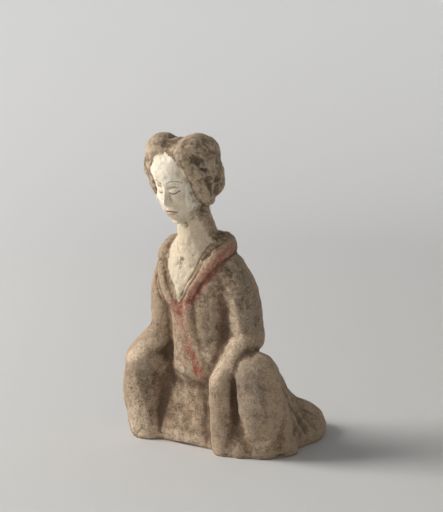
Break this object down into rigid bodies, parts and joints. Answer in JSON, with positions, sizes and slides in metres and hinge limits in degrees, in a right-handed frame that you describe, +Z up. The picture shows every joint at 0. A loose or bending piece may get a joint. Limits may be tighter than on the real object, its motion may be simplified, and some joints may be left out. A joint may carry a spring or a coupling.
{
  "type": "tomb figurine",
  "caption": "Painted earthenware tomb figurine of a crouching woman with drawn-up knees, a V-necked jacket, a skirt trailing behind and rolled hair, on a flat underside.",
  "frame": {"origin": "centre of the bounding box, on the flat underside", "axes": "+Z up; the figure faces -Y, and its own left side is +X"},
  "size_m": [0.1198, 0.136, 0.2042],
  "materials": {
    "earthenware": "matt fired clay with worn white and red pigment"
  },
  "bodies": {
    "root": {"crouching_woman": "earthenware"}
  },
  "joints": []
}
